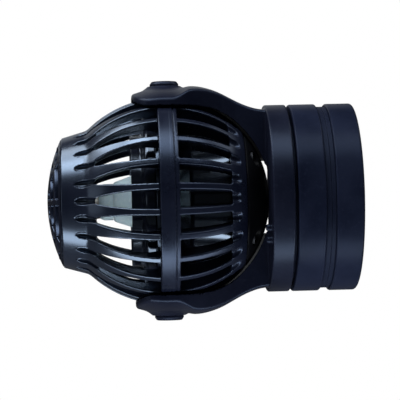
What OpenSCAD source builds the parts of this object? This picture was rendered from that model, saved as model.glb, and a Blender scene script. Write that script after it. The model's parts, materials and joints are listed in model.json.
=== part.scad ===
// Wave maker pump: a caged circulation pump that swings in a fork, the fork swivels
// on a magnet foot, and a second magnet clamps through a tank wall.
// Origin: centre of the face where the two magnet pads meet. +X points away from the
// tank water to the outside magnet, +Z is up and is the direction of the swing axis.
// The pump blows toward -X, so "front" is -X and "rear" is +X on the pump.

/* [Magnet foot] */
// Radius of both magnet housings and of the swivel ring
ring_r = 35; // [34.6:0.1:35.6]
// Depth of each magnet housing
ring_depth = 10.1; // [9.8:0.1:11]
// Radius of the two pads
pad_r = 34; // [32:0.5:34.5]
// Thickness of the pad on the inside magnet
wet_pad_t = 1.9; // [1.5:0.1:2.5]
// Thickness of the pad on the outside magnet
dry_pad_t = 1.7; // [1.5:0.1:2.5]
// Thickness of the swivel friction washer
washer_t = 1.2; // [1:0.1:1.6]

/* [Fork] */
// Distance from the pad face to the swing axis
pivot_back = 58; // [58:0.1:58.6]
// Radius of the hollow sphere the pump swings in
socket_r = 39.9; // [39.8:0.05:40.1]
// Half width of the strap of each fork arm
arm_half_w = 11.5; // [10:0.5:13]
// Radius of the round end plate of each fork arm
plate_r = 20.5; // [18:0.5:22]
// Height of the fork arms above the pump axis
arm_h = 42.4; // [42.2:0.1:43]
// Radius of the pivot caps
cap_r = 5.4; // [4.8:0.1:6]

/* [Cage] */
// Number of cage ribs, an even number
rib_n = 26; // [22:2:28]
// Outer radius of the front ribs
cage_r = 39.3; // [39.1:0.05:39.4]
// Radius of the centre ring
band_r = 38.7; // [38.5:0.05:38.9]
// Rib thickness beside the centre ring
rib_t = 2.3; // [1.8:0.1:2.8]
// Rib thickness at the nozzle end of the slots
rib_t_front = 4.9; // [4:0.1:5.2]
// Radius of the nozzle at its front edge
nozzle_r = 24.1; // [23.8:0.1:24.5]
// How far the outlet grille bulges out
dome_h = 5.6; // [5:0.1:6]
// Number of spokes in the outlet grille
spoke_n = 8; // [6:1:10]

/* [Motor] */
// Outer radius of the motor housing
motor_r = 24.5; // [24:0.1:24.6]
// Radius of the rotor magnet
rotor_r = 10.5; // [10:0.1:10.6]
// Radius of the fixed rotor shaft
shaft_r = 1.5; // [1.4:0.05:1.6]
// Number of propeller blades
blade_n = 5; // [3:1:6]
// Radius at the tips of the propeller blades
blade_r = 22.6; // [21:0.1:22.8]

/* [Hidden] */
$fn = 96;

clearance = 0.05;                     // running clearance on a radius

// Magnets: stacked inside each housing are a backing plate, a disc and a cover
housing_wall = 2;
backing_t = 1.6;
cover_t = 1.5;
backing_r = 31;
disc_r = 30.8;
cover_r = 33;
magnet_hole_r = 5;                    // hole in the wet plate and disc
edge = 0.5;                           // chamfer of the ring edges
outer_edge = 0.8;                     // larger chamfer of the outward ring edges
pad_edge = 0.3;

// Foot and fork, along X
arm_reach = 36.9;                     // from the swing axis to the swivel ring
pivot_x = -pivot_back;
wet_glass_x = -wet_pad_t;             // glass side of the inside magnet
wet_pump_x = wet_glass_x - ring_depth;
ring_magnet_x = wet_pump_x - washer_t; // magnet side of the swivel ring
ring_pump_x = pivot_x + arm_reach;    // pump side of the swivel ring
dry_glass_x = dry_pad_t;
dry_outer_x = dry_glass_x + ring_depth;

// Swivel post and pivots
post_r = 8;
post_out = 1.6;                       // post end beyond the magnet side of the ring
retainer_t = 1;
arm_root_h = 33;                      // arm height at the swivel ring
pin_r = 1.75;
pin_head_z = 41.6;                    // underside of the pin heads

// Pump, along X from the pump centre
nozzle_x = -38.9;                     // front edge of the nozzle
slot_end_x = -26;                     // where the front slots end
band_front = -3.4;                    // centre ring
band_rear = 3.6;
seam_x = 28.5;                        // joint between rear cage and rear cover

// Pump, other sizes
pitch = 360 / rib_n;
rear_r = 38.5;                        // outer radius of the rear ribs
lug_angles = [0, 50, 180, 230];       // bayonet lugs, from +Y toward +Z
dome_r = (nozzle_r * nozzle_r + dome_h * dome_h) / (2 * dome_h);
dome_x = nozzle_x - dome_h + dome_r;  // centre of the grille sphere
spoke_t = 1.8;
screw_n = 4;                          // rear cover screws
screw_circle_r = 20.2;
gland_x = 32;                         // axis of the cable gland
cable_r = 2.2;
cushion_r = 3;                        // rear shaft cushion
rotor_bush_r = 3.15;
hub_bore_r = rotor_bush_r + clearance;

ABS = [0.10, 0.11, 0.17];
GLOSS = [0.06, 0.06, 0.10];
GREY = [0.62, 0.66, 0.70];
RUBBER = [0.09, 0.09, 0.10];
STEEL = [0.70, 0.71, 0.73];
MAGNET = [0.55, 0.55, 0.57];

// ---------------------------------------------------------------- helpers
// A profile of [radius, position along X], turned about the X axis
module turned(profile) rotate([0, 90, 0]) rotate_extrude() polygon(profile);
// The same, over part of a turn; angles run from +Y toward +Z
module turned_part(profile, start, end)
    rotate([start, 0, 0]) rotate([90, 0, 0]) rotate([0, 90, 0])
        rotate_extrude(angle = end - start) polygon(profile);
// The [radius, X] corners of a plain rectangular section
function ring_section(inner, outer, from, to) =
    [[inner, from], [outer, from], [outer, to], [inner, to]];
// A round bar along X between two positions
module bar(radius, from, to)
    translate([from, 0, 0]) rotate([0, 90, 0]) cylinder(r = radius, h = to - from);
// A sphere centred on the X axis with its poles along Y
module ball(radius, x = 0) translate([x, 0, 0]) rotate([90, 0, 0]) sphere(r = radius);
// Evenly spaced copies around the X axis
module around_x(count, start = 0)
    for (i = [0:count - 1]) rotate([start + i * 360 / count, 0, 0]) children();
// Everything of the pump is drawn around its own centre
module at_pump() translate([pivot_x, 0, 0]) children();
// Both ends of the swing axis, each drawn as the +Z one
module at_poles() around_x(2) children();
module at_ribs() around_x(rib_n, pitch / 2) children();
module at_cover_screws() around_x(screw_n, 45) translate([0, screw_circle_r, 0]) children();
// Cutter for a cross recess, from a position toward +X
module cross_slot(from, depth, length, width)
    for (turn = [0, 90]) rotate([turn, 0, 0])
        translate([from, -length / 2, -width / 2]) cube([depth, length, width]);

// ---------------------------------------------------------------- inside magnet
module wet_magnet_housing() color(ABS) difference() {
    union() {
        turned([[0, wet_pump_x], [ring_r - edge, wet_pump_x], [ring_r, wet_pump_x + edge],
                [ring_r, wet_glass_x - edge], [ring_r - edge, wet_glass_x], [0, wet_glass_x]]);
        bar(post_r, ring_magnet_x - post_out, wet_pump_x + 1);
    }
    bar(backing_r + clearance, wet_pump_x + housing_wall, wet_glass_x + 1);
    bar(cover_r + clearance, wet_glass_x - cover_t, wet_glass_x + 1);
    // screw hole
    bar(2, ring_magnet_x - 3, wet_pump_x + 3);
}
module wet_backing_plate() color(STEEL) difference() {
    bar(backing_r, wet_pump_x + housing_wall, wet_pump_x + housing_wall + backing_t);
    bar(magnet_hole_r, wet_pump_x + 1, wet_pump_x + 5);
}
module wet_magnet_disc() color(MAGNET) difference() {
    bar(disc_r, wet_pump_x + housing_wall + backing_t, wet_glass_x - cover_t);
    bar(magnet_hole_r, wet_pump_x + 3, wet_glass_x);
}
module wet_magnet_cover() color(ABS) bar(cover_r, wet_glass_x - cover_t, wet_glass_x);
module wet_pad() color(RUBBER)
    turned([[0, -wet_pad_t], [pad_r, -wet_pad_t], [pad_r, -pad_edge], [pad_r - pad_edge, 0],
            [0, 0]]);
module swivel_friction_washer() color(RUBBER) difference() {
    bar(33.2, ring_magnet_x, wet_pump_x);
    bar(post_r + clearance, ring_magnet_x - 1, wet_pump_x + 1);
}
module swivel_retaining_washer() color(STEEL) difference() {
    bar(10.4, ring_magnet_x - post_out - retainer_t, ring_magnet_x - post_out);
    bar(2.1, ring_magnet_x - 4, ring_magnet_x);
}
module swivel_screw() {
    head_x = ring_magnet_x - post_out - retainer_t;
    head_end_x = head_x - 1.8;
    color(STEEL) difference() {
        union() {
            bar(1.95, head_x - 0.1, wet_pump_x + 1.8);
            turned([[0, head_end_x], [3.4, head_end_x], [4.4, head_x - 1], [4.4, head_x],
                    [0, head_x]]);
        }
        cross_slot(from = head_end_x - 0.6, depth = 1.6, length = 4.8, width = 1);
    }
}

// ---------------------------------------------------------------- fork
// Half a cosine wave: arm_h at x = 10, arm_root_h at the swivel ring
function arm_top(x) =
    arm_root_h + (arm_h - arm_root_h) * (1 + cos(180 * (x - 10) / (arm_reach - 10))) / 2;
// Side view of the strap, points of [x, z]
module arm_profile() polygon(concat(
    [[7.5, 30], [7.5, arm_h - 1.2], [9, arm_h - 0.45]],
    [for (x = [11.5:2.54:arm_reach]) [x, arm_top(x)]],
    [[arm_reach + 0.3, arm_top(arm_reach)], [arm_reach + 0.3, 12]]));
module arm() {
    // strap with its hump
    rotate([90, 0, 0]) linear_extrude(2 * arm_half_w, center = true) arm_profile();
    // round end plate, a shell over the pole of the cage, cut straight at the front
    intersection() {
        ball(arm_h - 0.1);
        translate([0, 0, 20]) cylinder(r = plate_r, h = 30);
        translate([-12.4, -30, 15]) cube([60, 60, 40]);
    }
    // boss around the pivot
    translate([0, 0, 40.9]) cylinder(r1 = 8.6, r2 = 6.2, h = 1.9);
}
module fork_body() {
    at_pump() {
        arm();
        mirror([0, 0, 1]) arm();
    }
    // swivel ring
    turned([[0, ring_magnet_x], [ring_r - edge, ring_magnet_x], [ring_r, ring_magnet_x - edge],
            [ring_r, ring_pump_x + outer_edge], [ring_r - outer_edge, ring_pump_x],
            [0, ring_pump_x]]);
}
module yoke_bracket() color(ABS) difference() {
    union() {
        difference() {
            fork_body();
            // channel for the cable, from the middle of the ring face to its +Y side
            translate([ring_pump_x - 8, -6, -13]) cube([12.1, 51, 28.3]);
        }
        // cable clip: two small round jaws on the -Y side
        for (z = [-11, -15.4])
            translate([0, -26.5, z]) bar(1.3, ring_pump_x - 2.3, ring_pump_x + 4.7);
    }
    at_pump() sphere(r = socket_r);
    // bore for the post, and the wider recess for the retaining washer
    bar(post_r + clearance, ring_magnet_x - 9, ring_magnet_x + 1);
    bar(10.8, ring_magnet_x - 9, ring_magnet_x - 1.55);
    // holes for the pivot pins and their heads
    at_pump() translate([0, 0, -50]) cylinder(r = 1.8, h = 100);
    at_pump() at_poles() translate([0, 0, pin_head_z]) cylinder(r = 4.2, h = 5);
}
module pivot_pins() color(STEEL) at_pump() at_poles() {
    translate([0, 0, 34.3]) cylinder(r = pin_r, h = 7.9);
    translate([0, 0, pin_head_z]) cylinder(r = 3.6, h = 0.9);
}
module pivot_caps() {
    // [radius, height along the swing axis]
    profile = [[0, 42.5], [4.15, 42.5], [4.15, 42.8], [cap_r, 42.8], [cap_r, 44],
               [cap_r - 0.6, 44.6], [0, 44.6]];
    color(ABS) at_pump() at_poles() difference() {
        rotate_extrude() polygon(profile);
        // shallow dish in the outer face
        translate([0, 0, 44.2]) cylinder(r = cap_r - 1.5, h = 1);
    }
}

// ---------------------------------------------------------------- cage, rear half
module rear_ribs() intersection() {
    difference() {
        ball(rear_r);
        ball(32, x = 4);
    }
    at_ribs() translate([3, 26, -rib_t / 2]) cube([21.95, 30, rib_t]);
}
module rear_cage() {
    // [radius, x]
    centre_ring = [[34.2, band_front], [band_r - 0.3, band_front], [band_r, band_front + 0.3],
                   [band_r, 2], [band_r - 0.25, 2.2], [band_r - 0.25, band_rear - 0.25],
                   [band_r - 0.5, band_rear], [31.95, band_rear], [31.95, 1.2], [34.2, 1.2]];
    rear_ring = [[24.7, 24.8], [29.6, 24.8], [28.9, 25.8], [27.8, 27], [26.5, 28.1],
                 [25.9, seam_x], [24.7, seam_x]];
    color(ABS) at_pump() difference() {
        union() {
            rear_ribs();
            turned(centre_ring);
            turned(rear_ring);
        }
        // pivot bores
        translate([0, 0, -50]) cylinder(r = 2.62, h = 100);
        // bayonet tracks and their entries
        for (angle = lug_angles) {
            turned_part(ring_section(34, 35.6, -2.2, -0.3), angle - 4.5, angle + 24.5);
            turned_part(ring_section(33.8, 35.55, -4, -1), angle + 15.6, angle + 24.4);
        }
    }
}
module pivot_bushes() color([0.82, 0.80, 0.74]) at_pump() at_poles() difference() {
    union() {
        translate([0, 0, 34.4]) cylinder(r = 2.6, h = 4.6);
        translate([0, 0, 38.72]) cylinder(r = 4.4, h = 0.7);
    }
    translate([0, 0, 30]) cylinder(r = pin_r + clearance, h = 12);
}

// ---------------------------------------------------------------- motor
module propeller_duct() {
    // [radius, x]
    profile = [[24.1, -13.4], [24.5, -13], [24.5, -9.6], [24.9, -8.2], [26, -7.1],
               [27.6, -6.5], [30.4, -6.4], [31.5, -5.9], [31.9, -4.8], [31.9, 0.2],
               [33.9, 0.2], [33.9, 1.2], [31.9, 1.2], [31.9, band_rear], [30.3, band_rear],
               [30.3, -4.4], [23.2, -4.4], [23.2, -13.4]];
    color(GLOSS) at_pump() turned(profile);
}
module motor_housing() {
    // [radius, x]: outer shell from front to rear, then back inside around the rotor can
    profile = [[11, 2], [12.6, 2], [motor_r - 1.5, 7.6], [motor_r - 0.3, 8.8], [motor_r, 10],
               [motor_r, 23.3], [25.8, 23.3], [25.8, 24.75], [motor_r, 24.75],
               [motor_r, 28.45], [22, 28.45], [22, 10.4], [12.2, 4.9], [12.2, 25.4],
               [12.2, 28], [0, 28], [0, 25.4], [11, 25.4]];
    color(GLOSS) at_pump() difference() {
        union() {
            turned(profile);
            // screw posts
            at_cover_screws() bar(2.6, 23, 28.45);
        }
        bar(cushion_r + clearance, 20, 27.2);
        at_cover_screws() bar(1.5, 24, 30);
        // seal groove
        turned(ring_section(23, 24, 27.45, 29));
    }
}
module stator_core() color([0.42, 0.42, 0.45]) at_pump() difference() {
    bar(19.5, 11, 22);
    bar(12.25, 0, 40);
    around_x(9) translate([10, 13.6, -1.1]) cube([14, 4, 2.2]);
}
module stator_windings() color([0.72, 0.38, 0.16]) at_pump() {
    turned([[13.2, 22.05], [17.2, 22.05], [17.2, 24], [16.4, 24.6], [14, 24.6], [13.2, 24]]);
    turned([[13.6, 9], [17.2, 9], [17.2, 10.95], [13.2, 10.95], [13.2, 9.4]]);
}
module rear_cover() color([0.04, 0.04, 0.05]) at_pump() difference() {
    intersection() {
        rotate([0, 90, 0]) sphere(r = 38.4, $fn = 160);
        bar(25.2, seam_x, 40);
    }
    bar(16.5, 20, 29.2);
    // way through for the wires
    translate([0, 4, 0]) bar(1.4, 28, 31);
    // holes for the screws and their heads
    at_cover_screws() {
        bar(1.6, 0, 40);
        bar(2.8, 30, 40);
    }
    // pocket for the cable gland, open toward +Y
    translate([gland_x, 2, 0]) rotate([-90, 0, 0]) cylinder(r = 3.9, h = 30);
    translate([gland_x, 11, -4.6]) cube([12, 20, 9.2]);
}
module rear_cover_seal() color(RUBBER) at_pump()
    turned(ring_section(23.05, 23.95, 27.5, 28.5));
module rear_cover_screws() color(STEEL) at_pump() at_cover_screws() difference() {
    union() {
        bar(1.45, 24.4, 31);
        bar(2.6, 30, 31.4);
    }
    cross_slot(from = 30.8, depth = 2, length = 3.4, width = 0.7);
}
module cable_gland() {
    // [radius, y], stepped like a bellows
    profile = [[0, 5.2], [3.8, 5.2], [3.8, 7.6], [3.1, 7.6], [3.1, 8.6], [3.6, 8.6],
               [3.6, 9.9], [2.9, 9.9], [2.9, 10.9], [3.3, 10.9], [3.3, 12.2], [2.7, 12.2],
               [2.7, 13.2], [3, 13.2], [3, 14.6], [0, 14.6]];
    color(RUBBER) at_pump() translate([gland_x, 0, 0]) rotate([-90, 0, 0]) difference() {
        rotate_extrude() polygon(profile);
        translate([0, 0, 4]) cylinder(r = cable_r + clearance, h = 12);
    }
}
module power_cable() color([0.05, 0.05, 0.06]) at_pump()
    translate([gland_x, 3, 0]) rotate([-90, 0, 0]) cylinder(r = cable_r, h = 15);
module rotor_shaft() color([0.93, 0.92, 0.88]) at_pump() bar(shaft_r, -31, 27);
module rear_shaft_cushion() color(RUBBER) at_pump() difference() {
    bar(cushion_r, 25.4, 27.2);
    bar(shaft_r + 0.02, 20, 27.05);
}
module thrust_washers() color([0.90, 0.89, 0.85]) at_pump() difference() {
    union() {
        bar(3.6, 24.75, 25.35);
        bar(3.6, -27.15, -25.75);
    }
    bar(shaft_r + clearance, -40, 40);
}

// ---------------------------------------------------------------- rotor
module rotor_magnet() color([0.20, 0.20, 0.22]) at_pump() difference() {
    turned([[0, 4.2], [rotor_r - 0.5, 4.2], [rotor_r, 4.7], [rotor_r, 23.5],
            [rotor_r - 0.5, 24], [0, 24]]);
    bar(5.05, 0, 30);
}
module propeller() {
    // [radius, x]: hub, then the sleeve that carries the rotor magnet
    hub = [[0, -20], [6.8, -20], [7.6, -19.2], [9.6, -13.4], [9.8, -12.4], [9.8, 1.4],
           [8.6, 3.4], [5, 4.2], [5, 24], [0, 24]];
    color(GREY) at_pump() difference() {
        union() {
            turned(hub);
            // flat blades, pitched and trimmed to the tip radius
            intersection() {
                bar(blade_r, -13.2, -4.8);
                around_x(blade_n) translate([-9, 8, 0]) rotate([0, 34, 0])
                    translate([-7, 0, -0.9]) cube([14, 16, 1.8]);
            }
        }
        bar(hub_bore_r, -30, 30);
    }
}
module propeller_nose() color(GREY) at_pump() difference() {
    turned([[0, -25.4], [4.6, -25.4], [6, -24.9], [6.8, -23.9], [6.8, -20], [0, -20]]);
    bar(hub_bore_r, -30, -10);
}
module rotor_bushes() color([0.80, 0.78, 0.70]) at_pump() difference() {
    union() {
        bar(rotor_bush_r, -25.6, -17);
        bar(rotor_bush_r, 17, 24.6);
    }
    bar(shaft_r + clearance, -40, 40);
}

// ---------------------------------------------------------------- cage, front half
// Rib outline seen along the radius: wide at the nozzle, thin beside the ring
module rib_plan() {
    // [x, half width]
    stations = [[-29, rib_t_front / 2], [slot_end_x, rib_t_front / 2], [-20.7, 1.75],
                [-13.7, rib_t / 2], [-3.5, rib_t / 2]];
    polygon(concat([for (s = stations) [s[0], -s[1]]],
                   [for (i = [len(stations) - 1:-1:0]) stations[i]]));
}
module front_ribs() intersection() {
    difference() {
        ball(cage_r);
        ball(31.5, x = -6);
    }
    bar(band_r, -29, -3.5);
    at_ribs() translate([0, 15, 0]) rotate([-90, 0, 0]) linear_extrude(30) rib_plan();
}
module front_cage() {
    // [radius, x]
    collar = [[nozzle_r, nozzle_x], [24.6, -36.5], [25.6, -33], [26.2, -31.2], [27.2, -29.5],
              [28.5, -27.6], [29.6, -26], [29.6, -25.6], [26.6, -25.6], [24.8, -28.4],
              [23.6, -31], [22.6, -34], [21.7, nozzle_x]];
    color(ABS) at_pump() difference() {
        union() {
            front_ribs();
            turned(collar);
            // spigot that enters the centre ring, with its bayonet lugs
            turned(ring_section(32.05, 34.1, -4.6, 0.15));
            for (angle = lug_angles)
                turned_part(ring_section(33.5, 35.5, -2.1, -0.4), angle - 4, angle + 4);
        }
        // room for the duct shoulder
        bar(32.02, -7.2, 1);
        around_x(rib_n) {
            // round end of a slot
            translate([slot_end_x - 0.4, 20, 0]) rotate([-90, 0, 0]) cylinder(r = 1, h = 20);
            // tapering notch ahead of the slot
            translate([-33.3, 25.5, 0]) rotate([0, 0, 25]) translate([0, -1.2, 0])
                rotate([-90, 0, 0]) linear_extrude(6)
                    polygon([[0, 0], [8.4, -1.3], [8.4, 1.3]]);
        }
    }
}
// Dished grille: rim, two rings and a flat hub, joined by spokes
module grille_dome() intersection() {
    difference() {
        translate([dome_x, 0, 0]) sphere(r = dome_r, $fn = 128);
        translate([dome_x + 2.6, 0, 0]) sphere(r = dome_r, $fn = 128);
    }
    bar(nozzle_r, -50, nozzle_x);
    union() {
        // inner and outer radius
        for (ring = [[21.6, nozzle_r], [16.6, 18.4], [10.8, 12.6]])
            turned(ring_section(ring[0], ring[1], -50, -30));
        bar(6.9, -50, -30);
        around_x(spoke_n) translate([-50, 5, -spoke_t / 2]) cube([20, 18, spoke_t]);
    }
}
module outlet_grille() color(GLOSS) at_pump() difference() {
    union() {
        grille_dome();
        // plug ring inside the nozzle, the post that carries the shaft, and their arms
        turned(ring_section(20.2, 21.65, nozzle_x - 0.6, -36));
        turned([[0, -43], [6.2, -43], [4.4, -39], [4, -28], [0, -28]]);
        around_x(4) translate([-40.4, 3, -spoke_t / 2]) cube([4.4, 17.8, spoke_t]);
    }
    bar(2.62, -34, -20);
}
module front_shaft_cushion() color([0.42, 0.44, 0.28]) at_pump() difference() {
    bar(2.6, -34, -27.2);
    bar(shaft_r + clearance, -31.2, -20);
}

// ---------------------------------------------------------------- outside magnet
module dry_magnet_housing() color(ABS) difference() {
    turned([[0, dry_glass_x], [ring_r - edge, dry_glass_x], [ring_r, dry_glass_x + edge],
            [ring_r, dry_outer_x - outer_edge], [ring_r - outer_edge, dry_outer_x],
            [0, dry_outer_x]]);
    bar(backing_r + clearance, dry_glass_x - 1, dry_outer_x - housing_wall);
    bar(cover_r + clearance, dry_glass_x - 1, dry_glass_x + cover_t);
}
module dry_backing_plate() color(STEEL)
    bar(backing_r, dry_outer_x - housing_wall - backing_t, dry_outer_x - housing_wall);
module dry_magnet_disc() color(MAGNET)
    bar(disc_r, dry_glass_x + cover_t, dry_outer_x - housing_wall - backing_t);
module dry_magnet_cover() color(ABS) bar(cover_r, dry_glass_x, dry_glass_x + cover_t);
module dry_pad() color(RUBBER)
    turned([[0, 0], [pad_r - pad_edge, 0], [pad_r, pad_edge], [pad_r, dry_pad_t],
            [0, dry_pad_t]]);

wet_magnet_housing();
wet_backing_plate();
wet_magnet_disc();
wet_magnet_cover();
wet_pad();
swivel_friction_washer();
swivel_retaining_washer();
swivel_screw();
yoke_bracket();
pivot_pins();
pivot_caps();
rear_cage();
pivot_bushes();
propeller_duct();
motor_housing();
stator_core();
stator_windings();
rear_cover();
rear_cover_seal();
rear_cover_screws();
cable_gland();
power_cable();
rotor_shaft();
rear_shaft_cushion();
thrust_washers();
rotor_magnet();
propeller();
propeller_nose();
rotor_bushes();
front_cage();
outlet_grille();
front_shaft_cushion();
dry_magnet_housing();
dry_backing_plate();
dry_magnet_disc();
dry_magnet_cover();
dry_pad();
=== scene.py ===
"""A magnet-mounted wave maker pump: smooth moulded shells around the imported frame, materials and stage.

The pump's axis lies along X: outlet grille at the front (-X), then the cage, the fork's ring, the wet
magnet and the dry magnet at the rear (+X). The swing axis is vertical (Z), at x = PIVOT.
Parts are either turned (a filleted profile about the X axis) or moulded (a smooth implicit solid, meshed
with surface nets). Shape lengths are millimetres; the stage is in metres. Inside the solids, x counts
from the swing axis, and a solid is negative inside.
"""
import json
import math

import bmesh
import bpy
import numpy as np
from mathutils import Matrix, Vector


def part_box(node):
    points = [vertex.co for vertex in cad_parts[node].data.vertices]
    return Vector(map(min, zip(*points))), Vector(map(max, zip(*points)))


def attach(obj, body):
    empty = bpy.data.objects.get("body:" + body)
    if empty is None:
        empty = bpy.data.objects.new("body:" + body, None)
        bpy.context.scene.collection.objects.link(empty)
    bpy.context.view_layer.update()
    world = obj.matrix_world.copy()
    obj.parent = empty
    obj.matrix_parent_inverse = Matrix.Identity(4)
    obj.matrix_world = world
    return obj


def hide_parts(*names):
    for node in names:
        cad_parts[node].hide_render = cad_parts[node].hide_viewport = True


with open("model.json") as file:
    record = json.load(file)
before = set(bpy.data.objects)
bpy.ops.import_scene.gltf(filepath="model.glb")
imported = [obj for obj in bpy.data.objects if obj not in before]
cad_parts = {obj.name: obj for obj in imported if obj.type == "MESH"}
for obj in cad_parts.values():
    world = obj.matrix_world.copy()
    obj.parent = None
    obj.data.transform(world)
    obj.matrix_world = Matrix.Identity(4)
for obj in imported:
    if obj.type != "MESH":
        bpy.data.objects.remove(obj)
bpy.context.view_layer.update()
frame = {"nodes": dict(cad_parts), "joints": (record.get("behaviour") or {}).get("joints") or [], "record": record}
MM = 0.001


def box_mm(node_name):
    low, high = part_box(node_name)
    return np.array(low) * 1000, np.array(high) * 1000


# ------------------------------------------------------------------ places from the frame
PIVOT = next(j for j in frame["joints"] if j["name"] == "pump_swing")["pos_m"][0] * 1000
WASHER_LOW, WASHER_HIGH = box_mm("swivel_friction_washer")
DRY_LOW, DRY_HIGH = box_mm("dry_magnet_housing")
WET_PAD_LOW, WET_PAD_HIGH = box_mm("wet_pad")
DRY_PAD_LOW, DRY_PAD_HIGH = box_mm("dry_pad")
WET_FRONT_X = WASHER_HIGH[0]
WET_REAR_X = box_mm("wet_magnet_housing")[1][0]
DRY_FRONT_X, DRY_REAR_X = DRY_LOW[0], DRY_HIGH[0]
RING_THICKNESS = 7.9
RING_FRONT_X = box_mm("yoke_bracket")[1][0] - RING_THICKNESS
RING_REAR_X = WASHER_LOW[0]
RING_R = DRY_HIGH[2]
PAD_R = WET_PAD_HIGH[2]

# ------------------------------------------------------------------ sizes shared by pieces
NOZZLE_X, NOZZLE_R = -38.9, 24.1  # front end of the cage
RIB_PITCH = 2 * math.pi / 26  # 26 ribs round the cage
BOSS_R = 8  # boss on the wet magnet
BOSS_HOLE_R = 8.05
RING_LIP = 1.55  # thin lip round the boss hole of the ring
CABLE_X = 32  # cable outlet, from the swing axis


# ------------------------------------------------------------------ mesh tools
def link_object(name, mesh):
    obj = bpy.data.objects.new(name, mesh)
    bpy.context.scene.collection.objects.link(obj)
    return obj


def smooth_faces(mesh):
    mesh.polygons.foreach_set("use_smooth", np.full(len(mesh.polygons), True))


def quad_object(name, verts, quads, normals):
    mesh = bpy.data.meshes.new(name)
    count, sides = quads.shape
    mesh.vertices.add(len(verts))
    mesh.vertices.foreach_set("co", verts.astype(np.float32).ravel())
    mesh.loops.add(count * sides)
    mesh.loops.foreach_set("vertex_index", quads.astype(np.int32).ravel())
    mesh.polygons.add(count)
    mesh.polygons.foreach_set("loop_start", np.arange(0, count * sides, sides, dtype=np.int32))
    mesh.polygons.foreach_set("loop_total", np.full(count, sides, dtype=np.int32))
    mesh.update(calc_edges=True)
    mesh.validate()
    smooth_faces(mesh)
    mesh.normals_split_custom_set_from_vertices([tuple(n) for n in normals])
    return link_object(name, mesh)


def signed_area(points):
    """Twice the area of a closed polygon, positive when it runs anticlockwise."""
    following = [points[(i + 1) % len(points)] for i in range(len(points))]
    return sum(a[0] * b[1] - b[0] * a[1] for a, b in zip(points, following))


def fillet(points, seg):
    """Rounds the corners of a closed polygon of (x, r, fillet); returns points and outward normals."""
    out, normals = [], []
    count = len(points)
    sign = 1 if signed_area(points) > 0 else -1
    for i in range(count):
        before, corner, after = (np.array(points[j % count][:2], float) for j in (i - 1, i, i + 1))
        radius = points[i][2]
        back, ahead = before - corner, after - corner
        back_len, ahead_len = np.linalg.norm(back), np.linalg.norm(ahead)
        back, ahead = back / back_len, ahead / ahead_len
        normal_in = sign * np.array([-back[1], back[0]])
        normal_out = sign * np.array([ahead[1], -ahead[0]])
        half = math.acos(np.clip(back @ ahead, -1, 1)) / 2
        if radius <= 0 or abs(math.pi / 2 - half) < 1e-3:
            mean = normal_in + normal_out
            out.append(corner)
            normals.append(mean / np.linalg.norm(mean))
            continue
        # a fillet takes at most 48 % of either edge
        reach = min(radius / math.tan(half), 0.48 * back_len, 0.48 * ahead_len)
        radius = reach * math.tan(half)
        bisector = (back + ahead) / np.linalg.norm(back + ahead)
        centre = corner + bisector * (radius / math.sin(half))
        start, end = corner + back * reach, corner + ahead * reach
        start_angle = math.atan2(*(start - centre)[::-1])
        end_angle = math.atan2(*(end - centre)[::-1])
        turn = (end_angle - start_angle + math.pi) % (2 * math.pi) - math.pi
        for k in range(seg + 1):
            angle = start_angle + turn * k / seg
            part = k / seg
            mean = (normal_in * math.sin((1 - part) * abs(turn))
                    + normal_out * math.sin(part * abs(turn)))
            out.append(centre + radius * np.array([math.cos(angle), math.sin(angle)]))
            normals.append(mean / np.linalg.norm(mean))
    return np.array(out), np.array(normals)


def turned(name, points, steps=192, seg=6, axis_x=0.0):
    """Turns a closed profile of (x, radius, fillet) about X; it closes where the radius is 0."""
    profile, profile_normals = fillet(points, seg)
    count = len(profile)
    angles = np.linspace(0, 2 * math.pi, steps, endpoint=False)
    cosines, sines = np.cos(angles), np.sin(angles)
    radii = np.maximum(profile[:, 1], 0)
    on_axis = radii < 1e-6
    index = np.zeros((count, steps), int)
    verts, normals = [], []
    for i in range(count):
        x = profile[i, 0] + axis_x
        along, outward = profile_normals[i]
        if on_axis[i]:
            index[i, :] = len(verts)
            verts.append((x, 0, 0))
            normals.append((math.copysign(1, along) if abs(along) > 1e-6 else 1, 0, 0))
        else:
            index[i, :] = len(verts) + np.arange(steps)
            for c, s in zip(cosines, sines):
                verts.append((x, radii[i] * c, radii[i] * s))
                normals.append((along, outward * c, outward * s))
    clockwise = signed_area(profile) < 0
    bm = bmesh.new()
    bm_verts = [bm.verts.new(np.array(v) * MM) for v in verts]
    for i in range(count):
        j = (i + 1) % count
        if on_axis[i] and on_axis[j]:
            continue
        for k in range(steps):
            m = (k + 1) % steps
            face = [index[i, k], index[i, m], index[j, m], index[j, k]]
            if clockwise:
                face = face[::-1]
            # a face that meets the axis becomes a triangle
            bm.faces.new([bm_verts[v] for v in dict.fromkeys(face)])
    bmesh.ops.recalc_face_normals(bm, faces=bm.faces)
    mesh = bpy.data.meshes.new(name)
    bm.to_mesh(mesh)
    bm.free()
    smooth_faces(mesh)
    normals = np.array(normals, float)
    normals /= np.maximum(np.linalg.norm(normals, axis=1)[:, None], 1e-9)
    mesh.normals_split_custom_set_from_vertices([tuple(n) for n in normals])
    return link_object(name, mesh)


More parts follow.
